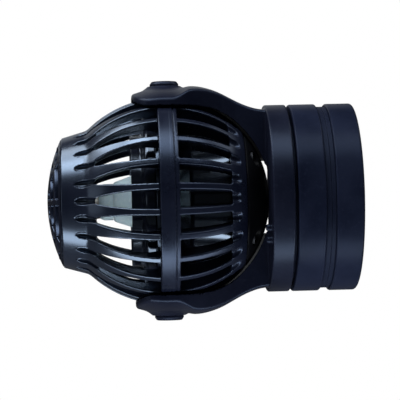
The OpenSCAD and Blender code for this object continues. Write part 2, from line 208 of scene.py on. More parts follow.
def surface_nets(solid, low, high, pitch):
    """Quads of the zero surface of a solid over a box, with the grid evaluated in slabs along x."""
    low = np.array(low, float) - 1.5 * pitch
    counts = np.ceil((np.array(high, float) + 1.5 * pitch - low) / pitch).astype(int) + 1
    xs, ys, zs = (low[k] + pitch * np.arange(counts[k]) for k in range(3))
    field = np.empty(counts, np.float32)
    slab = max(1, int(2.5e6 / (counts[1] * counts[2])))
    for i in range(0, counts[0], slab):
        field[i : i + slab] = solid(*np.meshgrid(xs[i : i + slab], ys, zs, indexing="ij"))
    inside = field < 0
    dims = counts - 1
    all_cells, all_crossings, all_flips = [], [], []
    for axis in range(3):
        near, far = [slice(None)] * 3, [slice(None)] * 3
        near[axis], far[axis] = slice(0, -1), slice(1, None)
        near, far = tuple(near), tuple(far)
        edges = np.argwhere(inside[near] != inside[far])
        at = tuple(edges.T)
        near_value, far_value = field[near][at], field[far][at]
        crossing = edges.astype(np.float64)
        crossing[:, axis] += near_value / (near_value - far_value)
        u, w = (axis + 1) % 3, (axis + 2) % 3
        cells = []
        for du, dw in ((0, 0), (-1, 0), (-1, -1), (0, -1)):
            cell = edges.copy()
            cell[:, u] += du
            cell[:, w] += dw
            cells.append(np.ravel_multi_index(np.clip(cell, 0, dims - 1).T, dims))
        whole = (edges[:, u] > 0) & (edges[:, w] > 0)
        whole &= (edges[:, u] < dims[u]) & (edges[:, w] < dims[w])
        all_cells.append(np.stack(cells, 1)[whole])
        all_crossings.append(crossing[whole])
        all_flips.append(~inside[near][at][whole])
    _, vertex = np.unique(np.concatenate(all_cells).ravel(), return_inverse=True)
    crossings = np.repeat(np.concatenate(all_crossings), 4, axis=0)
    shares = np.bincount(vertex)
    verts = np.stack([np.bincount(vertex, crossings[:, k]) / shares for k in range(3)], 1)
    quads = vertex.reshape(-1, 4)
    quads = np.where(np.concatenate(all_flips)[:, None], quads[:, ::-1], quads)
    return verts * pitch + low, quads


def gradient(solid, verts, step=0.01):
    slopes = np.empty_like(verts)
    for k in range(3):
        shift = np.zeros(3)
        shift[k] = step
        slopes[:, k] = (solid(*(verts + shift).T) - solid(*(verts - shift).T)) / (2 * step)
    return slopes


def moulded(name, solid, low, high, pitch):
    """Meshes solid(x, y, z), pulls the vertices onto its surface and gives them its normals."""
    verts, quads = surface_nets(solid, low, high, pitch)
    for _ in range(3):
        slopes = gradient(solid, verts)
        steepness = np.maximum((slopes * slopes).sum(1), 0.25)
        move = -(solid(*verts.T) / steepness)[:, None] * slopes
        length = np.linalg.norm(move, axis=1)[:, None]
        verts = verts + move * np.minimum(1, 0.4 * pitch / np.maximum(length, 1e-9))
    slopes = gradient(solid, verts, step=0.03)
    normals = slopes / np.maximum(np.linalg.norm(slopes, axis=1)[:, None], 1e-6)
    return quad_object(name, (verts + np.array([PIVOT, 0, 0])) * MM, quads, normals)


# ------------------------------------------------------------------ implicit solid tools
def cut(a, b, k=0.0):
    """Both a and b, with the edge rounded to radius k."""
    if k <= 0:
        return np.maximum(a, b)
    return np.minimum(-k, np.maximum(a, b)) + np.hypot(np.maximum(a + k, 0), np.maximum(b + k, 0))


def join(a, b, k):
    """a or b, with the inner corner filled to radius k."""
    return np.maximum(k, np.minimum(a, b)) - np.hypot(np.maximum(k - a, 0), np.maximum(k - b, 0))


def away(a, b, k=0.0):
    """a without b, with the edge rounded to radius k."""
    return cut(a, -b, k)


def between(value, low, high):
    return np.maximum(low - value, value - high)


def smooth_max(a, b, k):
    part = np.clip(0.5 + 0.5 * (a - b) / k, 0, 1)
    return b + (a - b) * part + k * part * (1 - part)


def off_nearest(angle, step):
    """Angle from the nearest whole multiple of step."""
    turns = angle / step
    return (turns - np.round(turns)) * step


def fine_groove(value, place, width, depth):
    return depth * np.exp(-(((value - place) / width) ** 2))


# ------------------------------------------------------------------ cage
# The front shell: a cone from the nozzle that blends into a flattened ball.
SHELL_X = np.linspace(-42, 6, 400)
SHELL_R = smooth_max(
    NOZZLE_R + 0.286 * (SHELL_X - NOZZLE_X),
    np.sqrt(np.maximum(1503 - 0.91 * SHELL_X**2, 1.0)),
    0.9,
)
SHELL_SLANT = np.sqrt(1 + np.gradient(SHELL_R, SHELL_X) ** 2)

# Each table below is x stations, then values there.
FRONT_RIB_DEPTH = ([-29, -22, -14, -8, -4.6], [2.7, 3.0, 3.3, 3.9, 5.0])
FRONT_RIB_HALF = ([-29, -26, -20.7, -13.7, -3.5], [2.75, 2.42, 1.78, 1.25, 1.15])
COLLAR_BORE = ([NOZZLE_X, -34, -31, -28.4, -25.6], [21.7, 22.6, 23.6, 24.9, 26.7])
# Scoops in the collar: x from the tip, half width and depth.
SCOOP_TIP_X, SCOOP_END_X = -33.9, -25.8
SCOOP_STATIONS = [0, 0.25, 0.7, 1.4, 2.4, 3.6, 5.2, 7.2]
SCOOP_HALF = [0.22, 0.5, 0.82, 1.14, 1.34, 1.34, 1.14, 0.95]
SCOOP_DEPTH = [0.25, 0.5, 0.9, 1.35, 1.6, 1.7, 1.75, 2.2]

LUG_ANGLES = [0, 50, 180, 230]
LUG_BASE_R = 33.4

REAR_BALL_R = 38.5
RING_GROOVES = ((2.1, 0.22, 0.32), (0.6, 0.2, 0.07), (-1.4, 0.2, 0.05))  # x, width, depth
# The scooped end of a rear slot: start of its centre line, run along x, drop, radius.
SLOT_END_X, SLOT_END_R = 20.0, 33.4
SLOT_RUN, SLOT_DROP, SLOT_RADIUS = 5.5, 3.6, 1.95
SLOT_LENGTH_SQUARED = 43.2


def rib_frame(y, z):
    """Radius, angle from the nearest rib and angle from the nearest slot."""
    angle = np.arctan2(z, y)
    turns = angle / RIB_PITCH
    rib_angle = (turns - np.floor(turns) - 0.5) * RIB_PITCH
    return np.hypot(y, z), rib_angle, off_nearest(angle, RIB_PITCH)


def lugs(x, y, z, angles, span, top_r):
    """Four blocks round the cage: angles in degrees from each lug angle, span along x."""
    radius = np.hypot(y, z)
    degrees = np.degrees(np.arctan2(z, y)) % 360
    half = (angles[1] - angles[0]) / 2
    blocks = []
    for base in LUG_ANGLES:
        off = (degrees - (base + (angles[0] + angles[1]) / 2) + 180) % 360 - 180
        across = (np.abs(off) - half) * math.pi / 180 * radius
        block = np.maximum(across, between(x, *span))
        blocks.append(np.maximum(block, between(radius, LUG_BASE_R, top_r)))
    return np.minimum.reduce(blocks)


def front_cage(x, y, z):
    radius, rib_angle, slot_angle = rib_frame(y, z)
    shell_r = np.interp(x, SHELL_X, SHELL_R)
    slant = np.interp(x, SHELL_X, SHELL_SLANT)
    outer = (radius - shell_r) / slant
    inner = (shell_r - np.interp(x, *FRONT_RIB_DEPTH) - radius) / slant
    # ribs narrow towards the axis
    half = np.interp(x, *FRONT_RIB_HALF) * np.clip(radius / shell_r, 0.5, 1.0) ** 1.5
    rib = cut(inner, np.abs(radius * np.sin(rib_angle)) - half, 0.5)
    rib = cut(rib, between(x, -30.5, -3.5), 0.15)
    collar = cut((np.interp(x, *COLLAR_BORE) - radius) * 0.93, x + 26.5, 0.9)
    collar = cut(collar, NOZZLE_X - x, 0.2)
    body = cut(join(rib, collar, 0.95), outer, 0.5)
    # a pointed scoop in the collar ahead of each slot
    station = x - SCOOP_TIP_X
    half = np.interp(station, SCOOP_STATIONS, SCOOP_HALF)
    depth = np.interp(station, SCOOP_STATIONS, SCOOP_DEPTH)
    across = radius * np.sin(slot_angle)
    scoop = np.sqrt((across / half) ** 2 + ((shell_r - radius) / depth) ** 2 + 1e-9) - 1
    scoop = np.maximum(scoop * np.minimum(half, depth), between(x, SCOOP_TIP_X, SCOOP_END_X))
    body = away(body, scoop, 0.18)
    # a thin spigot at the rear end, inside a cleared bore
    spigot = cut(between(x, -4.6, 0.12), between(radius, 32.06, 34.1), 0.25)
    body = away(body, np.maximum(between(x, -7.2, 1), radius - 32.03))
    body = np.minimum(body, spigot)
    return np.minimum(body, lugs(x, y, z, angles=(-4, 4), span=(-2.1, -0.4), top_r=35.5))


def rear_cage(x, y, z):
    radius, rib_angle, slot_angle = rib_frame(y, z)
    outer = np.sqrt(x * x + radius * radius) - REAR_BALL_R
    inner = np.maximum(32 - np.sqrt((x - 4) ** 2 + radius * radius), 26 - radius)
    rib = cut(inner, np.abs(radius * np.sin(rib_angle)) - 1.2, 0.5)
    rib = cut(rib, between(x, 2.8, 25.2), 0.1)
    # centre ring, with a step and fine grooves
    top = np.where(x < 2.05, 38.7, 38.46)
    grooves = sum(fine_groove(x, *groove) for groove in RING_GROOVES)
    ring = cut(radius - top + grooves, between(x, -3.4, 3.6), 0.55)
    ring = cut(ring, np.where(x > 1.2, 31.95, 34.2) - radius, 0.12)
    # end ring
    end = cut(np.where(x < 24.9, 26.3, 24.75) - radius, 22.6 - x, 0.8)
    end = cut(end, x - 28.45, 0.3)
    body = cut(join(rib, end, 0.8), outer, 0.5)
    # each slot runs out in a scooped end
    along = x - SLOT_END_X
    above = radius * np.cos(slot_angle) - SLOT_END_R
    part = np.clip((along * SLOT_RUN - above * SLOT_DROP) / SLOT_LENGTH_SQUARED, 0, 1)
    across = radius * np.sin(slot_angle)
    scoop = np.sqrt(
        (along - SLOT_RUN * part) ** 2 + (above + SLOT_DROP * part) ** 2 + across * across
    )
    body = away(body, scoop - SLOT_RADIUS, 0.3)
    body = join(body, ring, 0.35)
    # a hole through the ring on the swing axis, and the recesses at the lugs
    body = away(body, np.hypot(x, y) - 2.64)
    body = away(body, lugs(x, y, z, angles=(-4.5, 24.5), span=(-2.2, -0.3), top_r=35.6))
    return away(body, lugs(x, y, z, angles=(15.6, 24.4), span=(-5, -0.9), top_r=35.55))


# ------------------------------------------------------------------ fork
# Height of the arm's outer face: x stations and z, then smoothed.
ARM_TABLE = (
    [4, 7, 9.5, 12, 14, 16.2, 18.5, 20.7, 23, 25.2, 27.5, 29.7, 32, 34.2, 37],
    [41.8, 42.35, 42.7, 42.5, 42.1, 41.5, 40.7, 39.7, 38.4, 37.2, 36.0, 35.0, 34.2, 33.6, 33.3],
)
ARM_X = np.linspace(-30, 70, 1001)
BLUR_REACH, BLUR_WIDTH = 45, 14.0  # in steps of ARM_X
BLUR = np.exp(-0.5 * (np.arange(-BLUR_REACH, BLUR_REACH + 1) / BLUR_WIDTH) ** 2)
ARM_Z = np.convolve(
    np.pad(np.interp(ARM_X, *ARM_TABLE), BLUR_REACH, mode="edge"), BLUR / BLUR.sum(), mode="valid"
)
SOCKET_R = 39.9  # ball-shaped hollow that holds the cage
POLE_SHELL_R = 42.3
CHANNEL_X = RING_FRONT_X + 4.1
JAW_Y, JAW_R, JAW_Z = -26.5, 1.35, (-11.0, -15.4)


def yoke(x, y, z):
    height = np.abs(z)
    ball = np.sqrt(x * x + y * y + z * z)
    from_swing = np.hypot(x, y)
    blend = np.clip((x - 1.8) / 7.4, 0, 1)
    blend = blend * blend * (3 - 2 * blend)
    slope = 1 + 0.14 * np.clip((x - 9) / 8, 0, 1) * np.clip((35 - x) / 8, 0, 1)
    # outer face: a shell over the pole, then a hump and a long curve down to the ring
    pole = ball - POLE_SHELL_R + 0.5 * np.clip(-(x + 2) / 9, 0, 1)
    arm = (height - np.interp(x, ARM_X, ARM_Z) + 0.007 * y * y) / slope
    top = pole * (1 - blend) + arm * blend
    plate = cut(from_swing - 20.5, -12.4 - x, 7.0)
    strap = np.maximum(np.abs(y) - 11.5, -x)
    body = cut(top, join(plate, strap, 9.0), 0.9)
    body = cut(body, np.maximum(x - 38, 12 + 0.36 * (37.2 - x) - height), 0.1)
    # low round seat for the cap
    seat = np.maximum((from_swing - (8.6 - 1.26 * (height - 40.9))) / 1.6, height - 42.78)
    body = join(body, np.maximum(seat, 38 - height), 0.5)
    # swivel ring, with a channel across its front face
    frame_x = x + PIVOT
    radius = np.hypot(y, z)
    ring = cut(radius - RING_R, frame_x - RING_REAR_X, 0.45)
    ring = cut(ring, RING_FRONT_X - frame_x, 0.7)
    body = join(body, ring, 0.5)
    channel = np.maximum(np.maximum(frame_x - CHANNEL_X, -6 - y), between(z, -13, 15.3))
    body = away(body, channel, 0.4)
    # two small jaws on the front face of the ring
    for jaw_z in JAW_Z:
        jaw = np.hypot(y - JAW_Y, z - jaw_z) - JAW_R
        jaw = cut(jaw, RING_FRONT_X - 2.3 - frame_x, 1.0)
        body = join(body, np.maximum(jaw, frame_x - RING_FRONT_X - 5), 0.3)
    body = away(body, ball - SOCKET_R, 0.35)
    # boss hole, and a wider bore in front of the lip
    body = away(body, np.maximum(radius - BOSS_HOLE_R, RING_REAR_X - 9 - frame_x))
    body = away(body, np.maximum(radius - 10.8, frame_x - (RING_REAR_X - RING_LIP)))
    # hole on the swing axis, widened under the cap
    body = away(body, from_swing - 1.8)
    return away(body, np.maximum(from_swing - 4.22, 41.6 - height))


# ------------------------------------------------------------------ outlet grille
DOME_HEIGHT = 5.6
DOME_R = (NOZZLE_R**2 + DOME_HEIGHT**2) / (2 * DOME_HEIGHT)
DOME_CENTRE = NOZZLE_X - DOME_HEIGHT + DOME_R
DOME_THICKNESS = 2.6
SPOKES = 8
BAR_HALF = 0.95  # half width of spokes and rings
BAR_RINGS = (11.7, 17.5)
POST_TAPER = ([-43, -39, -28], [5.9, 4.4, 4.0])  # x, radius


def grille(x, y, z):
    radius = np.hypot(y, z)
    outer = np.sqrt((x - DOME_CENTRE) ** 2 + radius * radius) - DOME_R
    inner = np.sqrt((x - DOME_CENTRE - DOME_THICKNESS) ** 2 + radius * radius)
    dome = cut(outer, (DOME_R - 0.02) - inner, 0.45)
    angle = np.arctan2(z, y)
    spoke = np.abs(radius * np.sin(off_nearest(angle, 2 * math.pi / SPOKES))) - BAR_HALF
    spoke = np.maximum(spoke, 4 - radius)
    rings = np.minimum(radius - 6.9, 21.7 - radius)
    for ring_r in BAR_RINGS:
        rings = np.minimum(rings, np.abs(radius - ring_r) - BAR_HALF)
    body = cut(dome, join(spoke, rings, 0.6), 0.42)
    body = cut(body, radius - (NOZZLE_R - 0.02), 0.3)
    body = cut(body, x - (NOZZLE_X - 0.03), 0.12)
    # hub and a tapered post behind it
    hub = cut(between(x, -42.6, -38.95), radius - 6.2, 0.4)
    post = (radius - np.interp(x, *POST_TAPER)) * 0.98
    post = np.maximum(post, between(x, -42.8, -28))
    body = join(body, join(hub, post, 0.5), 0.3)
    # short tube inside the nozzle, on four webs
    plug = cut(between(x, NOZZLE_X - 0.7, -36), between(radius, 20.2, 21.64), 0.3)
    web = np.abs(radius * np.sin(off_nearest(angle, math.pi / 2))) - 0.85
    web = np.maximum(np.maximum(web, between(x, -40.6, -36)), between(radius, 3, 20.8))
    body = join(body, join(plug, web, 0.4), 0.3)
    return away(body, np.maximum(radius - 2.62, -34 - x))


# ------------------------------------------------------------------ propeller
BLADES = 5
BLADE_X = -9
BLADE_TIP_R = 22.6
TWIST = 0.043  # radians per mm
HUB_FRONT_X, HUB_REAR_X = -20, 4.2
HUB_PROFILE = (  # x, radius
    [HUB_FRONT_X, -19.2, -13.4, -12.4, 1.4, 3.4, HUB_REAR_X],
    [6.8, 7.5, 9.5, 9.8, 9.8, 8.6, 5.0],
)
BLADE_HALF_THICKNESS = ([8, BLADE_TIP_R], [1.15, 0.7])  # by radius
BLADE_HALF_LENGTH = ([9, 16, BLADE_TIP_R], [3.9, 4.15, 3.6])  # by radius


def propeller(x, y, z):
    radius = np.hypot(y, z)
    hub = (radius - np.interp(x, *HUB_PROFILE)) * 0.94
    hub = np.maximum(hub, between(x, HUB_FRONT_X, HUB_REAR_X))
    hub = cut(hub, -19.95 - x, 0.15)
    sleeve = cut(between(x, 0, 24), radius - 5.0, 0.1)
    body = np.minimum(hub, sleeve)
    twisted = np.arctan2(z, y) + TWIST * (x - BLADE_X)
    across = radius * np.sin(off_nearest(twisted, 2 * math.pi / BLADES))
    helix = across / np.sqrt(1 + (TWIST * np.maximum(radius, 2.0)) ** 2)
    thick = np.interp(radius, *BLADE_HALF_THICKNESS)
    half_length = np.interp(radius, *BLADE_HALF_LENGTH)
    sweep = 0.05 * (radius - 9)
    edge = np.sqrt(((x - BLADE_X - sweep) / half_length) ** 2 + 1e-6)
    # blades thin out towards both edges
    thinning = np.sqrt(np.maximum(1 - 0.72 * np.minimum(edge, 1) ** 2, 0.05))
    blade = cut(np.abs(helix) - thick * thinning, (edge - 1) * half_length, 0.3)
    blade = cut(blade, radius - BLADE_TIP_R, 0.35)
    body = join(body, np.maximum(blade, 8 - radius), 0.9)
    return away(body, np.maximum(radius - 3.2, -25 - x))


# ------------------------------------------------------------------ rear cover
COVER_BALL_R = 38.4
HOLE_OFFSET = math.sqrt(0.5) * 20.2  # four holes on the diagonals, 20.2 from the axis


def rear_cover(x, y, z):
    radius = np.hypot(y, z)
    body = cut(np.sqrt(x * x + y * y + z * z) - COVER_BALL_R, radius - 25.2, 0.35)
    body = cut(body, 28.5 - x, 0.2)
    body = away(body, np.maximum(radius - 16.5, x - 29.2))
    hole = np.hypot(np.abs(y) - HOLE_OFFSET, np.abs(z) - HOLE_OFFSET)
    body = away(body, hole - 1.6)
    body = away(body, np.maximum(hole - 2.8, 30 - x), 0.3)
    # pocket for the cable, open to the rear
    pocket = np.maximum(np.hypot(x - CABLE_X, z) - 3.9, 2 - y)
    mouth = np.maximum(np.maximum(CABLE_X - x, 11 - y), np.abs(z) - 4.6)
    body = away(body, join(pocket, mouth, 0.4), 0.3)
    # two fine round grooves on the dome
    for groove_r in (9.0, 15.0):
        body = body + fine_groove(radius, groove_r, width=0.25, depth=0.10) * (x > 30)
    return body


# ------------------------------------------------------------------ shader tools
def feed(tree, socket, value):
    """Links a socket to the input, or sets its value."""
    if isinstance(value, bpy.types.NodeSocket):
        tree.links.new(value, socket)
    else:
        socket.default_value = value


def node(tree, kind, **settings):
    """A shader node; each setting is an input by name, or else a property."""
    made = tree.nodes.new(kind)
    for key, value in settings.items():
        if key in made.inputs.keys():
            feed(tree, made.inputs[key], value)
        else:
            setattr(made, key, value)
    return made


def math_node(tree, operation, *values):
    made = node(tree, "ShaderNodeMath", operation=operation)
    for i, value in enumerate(values):
        feed(tree, made.inputs[i], value)
    return made


def mix_colour(tree, factor, first, second):
    made = node(tree, "ShaderNodeMix", data_type="RGBA")
    for i, value in ((0, factor), (6, first), (7, second)):
        feed(tree, made.inputs[i], value)
    return made.outputs[2]


def principled(mat):
    mat.use_nodes = True
    tree = mat.node_tree
    tree.nodes.clear()
    output = node(tree, "ShaderNodeOutputMaterial")
    bsdf = node(tree, "ShaderNodeBsdfPrincipled")
    feed(tree, output.inputs[0], bsdf.outputs[0])
    return tree, bsdf, output


def plastic(name, base, rough, grain=1.0, speck=0.025, sheen_var=0.08, edge=0.5,
            turned_marks=0.0, dust=0.15, metallic=0.0, spec=0.5, tint=None):
    """Plastic, rubber or metal with uneven tone, mould grain, worn edges and faint dust.

    grain: bump strength; speck and sheen_var: fine and broad change of roughness;
    edge and dust: amount of wear on edges and dust in creases; turned_marks: lines across X.
    """
    mat = bpy.data.materials.new(name)
    tree, bsdf, _ = principled(mat)
    place_in = node(tree, "ShaderNodeTexCoord").outputs["Object"]
    pointiness = node(tree, "ShaderNodeNewGeometry").outputs["Pointiness"]

    def noise(scale, detail, roughness):
        return node(tree, "ShaderNodeTexNoise", Scale=scale, Detail=detail, Roughness=roughness,
                    Vector=place_in).outputs[0]

    def scaled(value, from_min, from_max, to_min=0.0, to_max=1.0):
        limits = {"From Min": from_min, "From Max": from_max, "To Min": to_min, "To Max": to_max}
        return node(tree, "ShaderNodeMapRange", Value=value, **limits).outputs[0]

    def shade(gain, lift=0.0):
        return tuple(np.minimum(np.array(base, float) * gain + lift, 1)) + (1,)

    broad = noise(scale=55.0, detail=5.0, roughness=0.55)
    specks = noise(scale=900.0, detail=3.0, roughness=0.6)
    mould = noise(scale=2600.0, detail=2.0, roughness=0.5)
    pebbles = node(tree, "ShaderNodeTexVoronoi", Scale=1500.0, Vector=place_in).outputs[0]

    # colour: broad tone, specks, worn edges, dust
    tone = mix_colour(tree, scaled(broad, 0.3, 0.7), shade(0.78), shade(1.28, 0.002))
    tone = mix_colour(tree, scaled(specks, 0.56, 0.72, 0.0, 0.5), tone, shade(1.5, 0.004))
    wear = math_node(tree, "MULTIPLY", scaled(pointiness, 0.515, 0.60, 0.0, edge),
                     scaled(specks, 0.38, 0.62, 0.35, 1.0))
    worn = shade(2.0, np.array([0.012, 0.013, 0.016]))
    tone = mix_colour(tree, wear.outputs[0], tone, worn)
    tone = mix_colour(tree, scaled(pointiness, 0.49, 0.42, 0.0, dust), tone, shade(1.3, 0.012))

    # roughness in patches
    patches = math_node(tree, "ADD", scaled(broad, 0.25, 0.75, rough - sheen_var, rough + sheen_var),
                        scaled(specks, 0.3, 0.7, -speck, speck))
    patches.use_clamp = True

    # bump: grain, and turning marks where asked
    height = math_node(tree, "MULTIPLY_ADD", mould, 0.6, scaled(pebbles, 0.0, 1.0, 0.0, 0.4))
    if turned_marks:
        split = node(tree, "ShaderNodeSeparateXYZ")
        feed(tree, split.inputs[0], place_in)
        lines = node(tree, "ShaderNodeTexNoise", Scale=1800.0, Detail=2.0, noise_dimensions="1D")
        feed(tree, lines.inputs["W"], split.outputs[0])
        height = math_node(tree, "MULTIPLY_ADD", lines.outputs[0], turned_marks, height.outputs[0])
    fine = node(tree, "ShaderNodeBump", Strength=min(1.0, 0.10 * grain), Distance=0.00004,
                Height=height.outputs[0])
    wave = node(tree, "ShaderNodeBump", Strength=min(1.0, 0.05 * grain), Distance=0.0006,
                Height=broad, Normal=fine.outputs[0])

    surface = {
        "Base Color": tone, "Roughness": patches.outputs[0], "Normal": wave.outputs[0],
        "Metallic": metallic, "IOR": 1.5, "Specular IOR Level": spec,
        "Coat Weight": 0.0, "Coat Roughness": 0.12,
    }
    if tint:
        surface["Specular Tint"] = tuple(tint) + (1,)
    for key, value in surface.items():
        feed(tree, bsdf.inputs[key], value)
    return mat


# ------------------------------------------------------------------ materials
BLUE = (0.48, 0.65, 1.0)
PALE_BLUE = (0.62, 0.78, 1.0)
GLOSSY = dict(base=(0.0020, 0.0027, 0.0062), grain=0.12, dust=0.03, edge=0.05, tint=PALE_BLUE,
              sheen_var=0.02, speck=0.006)
LOOKS = {
    "housing_plastic": dict(base=(0.0054, 0.0074, 0.0172), rough=0.33, grain=0.9,
                            turned_marks=0.25, edge=0.30, spec=0.05, tint=BLUE, sheen_var=0.05),
    "yoke_plastic": dict(base=(0.0040, 0.0050, 0.0116), rough=0.34, grain=0.8, edge=0.20,
                         spec=0.14, tint=BLUE, sheen_var=0.05),
    "cage_plastic": dict(base=(0.0030, 0.0042, 0.0100), rough=0.23, grain=0.12, speck=0.006,
                         edge=0.05, spec=0.85, tint=(0.58, 0.75, 1.0), sheen_var=0.02, dust=0.03),
    "glossy_plastic": dict(rough=0.19, spec=1.0, **GLOSSY),
    "glossy_plastic_duct": dict(rough=0.17, spec=0.55, **GLOSSY),
    "grille_plastic": dict(base=(0.0030, 0.0040, 0.0095), rough=0.24, grain=0.5, edge=0.2,
                           spec=0.45, tint=BLUE),
    "cover_plastic": dict(base=(0.0016, 0.0017, 0.0026), rough=0.45, edge=0.1, spec=0.04),
    "propeller_plastic": dict(base=(0.62, 0.80, 0.97), rough=0.36, grain=0.5, edge=0.1),
    "bush_plastic": dict(base=(0.60, 0.58, 0.50), rough=0.40, grain=0.6, edge=0.1),
    "pad_rubber": dict(base=(0.0048, 0.0066, 0.0150), rough=0.50, grain=2.0, turned_marks=0.5,
                       spec=0.06, tint=BLUE),
    "seal_rubber": dict(base=(0.0070, 0.0070, 0.0085), rough=0.60, grain=1.6, spec=0.2),
    "olive_rubber": dict(base=(0.13, 0.14, 0.07), rough=0.5, grain=1.2, edge=0.1),
    "cable_jacket": dict(base=(0.0050, 0.0050, 0.0070), rough=0.40, grain=1.4, spec=0.3),
    "stainless": dict(base=(0.55, 0.56, 0.58), rough=0.26, grain=0.6, metallic=1.0,
                      turned_marks=0.6, edge=0.15, dust=0.1),
    "plated_steel": dict(base=(0.36, 0.37, 0.40), rough=0.38, metallic=0.9, edge=0.2),
    "magnet": dict(base=(0.20, 0.20, 0.22), rough=0.40, grain=1.6, metallic=0.7, edge=0.25),
    "copper_wire": dict(base=(0.48, 0.20, 0.07), rough=0.32, grain=1.2, metallic=0.85,
                        turned_marks=1.0),
    "ceramic_rod": dict(base=(0.78, 0.76, 0.70), rough=0.22, grain=0.4, edge=0.1),
    "cage_plastic_satin": dict(base=(0.0034, 0.0045, 0.0108), rough=0.30, grain=0.3, speck=0.01,
                               edge=0.08, spec=0.30, tint=BLUE, turned_marks=0.35, dust=0.05),
    # painted shade: a copy of stainless darkened to near black, so the cover screws look as if they lay in shade
    # in their holes
    "stainless_painted_shade": dict(base=(0.014, 0.015, 0.018), rough=0.6, metallic=0.5, edge=0.1,
                                   spec=0.2),
}
MATERIALS = {name: plastic(name, **look) for name, look in LOOKS.items()}


def dress(obj, material):
    obj.data.materials.clear()
    obj.data.materials.append(MATERIALS[material])


SLOTS = {part["node"]: part["material_slot"] for part in frame["record"]["subparts"]}
for node_name, packed in frame["nodes"].items():
    dress(packed, SLOTS[node_name])
# the cover screws get the darkened stainless copy: painted shade, not their own colour
frame["nodes"]["rear_cover_screws"].data.materials[0] = MATERIALS["stainless_painted_shade"]


def place(obj, body, slot, replaced, material=None):
    """Dresses a piece, fixes it to a body and puts it in place of a frame node."""
    dress(obj, material or slot)
    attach(obj, body)
    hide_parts(replaced)


# ------------------------------------------------------------------ moulded pieces
# Each is meshed within a box (low, high) around the swing axis, on a grid of the given pitch.
place(moulded("front_cage_shell", front_cage, (-39, -39, -39), (0.2, 39, 39), pitch=0.42),
      "front_cage", "cage_plastic", "front_cage")
place(moulded("rear_cage_shell", rear_cage, (-3.5, -39, -39), (28.6, 39, 39), pitch=0.42),
      "pump", "cage_plastic", "rear_cage", material="cage_plastic_satin")
place(moulded("yoke_fork_and_ring", yoke, (-13, -35.2, -43),
              (RING_REAR_X - PIVOT + 0.1, 35.2, 43), pitch=0.5),
      "yoke", "yoke_plastic", "yoke_bracket")
place(moulded("outlet_grille_dome", grille, (-44.7, -24.3, -24.3), (-27.8, 24.3, 24.3),
              pitch=0.36),
      "front_cage", "grille_plastic", "outlet_grille")
place(moulded("propeller_moulding", propeller, (-20.1, -22.8, -22.8), (24.2, 22.8, 22.8),
              pitch=0.42),
      "rotor", "propeller_plastic", "propeller")
place(moulded("rear_cover_dome", rear_cover, (28.4, -25.4, -25.4), (38.6, 25.4, 25.4),
              pitch=0.42),
      "pump", "cover_plastic", "rear_cover")

# ------------------------------------------------------------------ turned pieces
# Every profile is a list of (x, radius, fillet).

# magnet housings: open cups with a stepped rim
CUP_WALL = 2
CUP_BORE_R = 31.05
STEP_R, STEP_DEPTH = 33.05, 1.52
WET_CUP = [
    (WET_FRONT_X, BOSS_R, 0.05), (RING_REAR_X - RING_LIP, BOSS_R, 0.3),
    (RING_REAR_X - RING_LIP, 2, 0.1), (WET_FRONT_X + CUP_WALL, 2, 0.1),
    (WET_FRONT_X + CUP_WALL, CUP_BORE_R, 0.2), (WET_REAR_X - STEP_DEPTH, CUP_BORE_R, 0.1),
    (WET_REAR_X - STEP_DEPTH, STEP_R, 0.1), (WET_REAR_X, STEP_R, 0.15),
    (WET_REAR_X, RING_R, 0.75), (WET_FRONT_X, RING_R, 0.7), (WET_FRONT_X, 8.1, 0.02),
]
DRY_CUP = [
    (DRY_FRONT_X, RING_R, 0.7), (DRY_FRONT_X, STEP_R, 0.15),
    (DRY_FRONT_X + STEP_DEPTH, STEP_R, 0.1), (DRY_FRONT_X + STEP_DEPTH, CUP_BORE_R, 0.1),
    (DRY_REAR_X - CUP_WALL, CUP_BORE_R, 0.2), (DRY_REAR_X - CUP_WALL, 0, 0), (DRY_REAR_X, 0, 0),
    (DRY_REAR_X, 26.0, 0.3), (DRY_REAR_X - 0.25, 26.4, 0.3), (DRY_REAR_X - 0.25, 27.2, 0.3),
    (DRY_REAR_X, 27.6, 0.3), (DRY_REAR_X, RING_R, 1.1),
]
place(turned("wet_magnet_cup", WET_CUP, steps=256),
      "wet_magnet", "housing_plastic", "wet_magnet_housing")
place(turned("dry_magnet_cup", DRY_CUP, steps=256),
      "dry_magnet", "housing_plastic", "dry_magnet_housing")


def pad_profile(back, face):
    """A rubber pad with a rounded rim and shallow ring grooves on its face."""
    floor_x = face - 0.3 * (1 if face > back else -1)
    points = [(back, 0, 0), (face, 0, 0)]
    for groove_r in (8, 14, 20, 26, 30.5):
        points += [
            (face, groove_r - 0.6, 0.12), (floor_x, groove_r - 0.35, 0.12),
            (floor_x, groove_r + 0.35, 0.12), (face, groove_r + 0.6, 0.12),
        ]
    return points + [(face, PAD_R, 0.28), (back, PAD_R, 0.3)]


WET_PAD = pad_profile(back=WET_PAD_LOW[0], face=WET_PAD_HIGH[0])
DRY_PAD = pad_profile(back=DRY_PAD_HIGH[0], face=DRY_PAD_LOW[0])
place(turned("wet_pad_rubber", WET_PAD, steps=256), "wet_magnet", "pad_rubber", "wet_pad")
place(turned("dry_pad_rubber", DRY_PAD, steps=256), "dry_magnet", "pad_rubber", "dry_pad")

WASHER_R = 31.0
WASHER = [
    (RING_REAR_X, BOSS_HOLE_R, 0.05), (RING_REAR_X, WASHER_R, 0.15),
    (WET_FRONT_X, WASHER_R, 0.15), (WET_FRONT_X, BOSS_HOLE_R, 0.05),
]
place(turned("friction_washer_rubber", WASHER),
      "wet_magnet", "pad_rubber", "swivel_friction_washer")

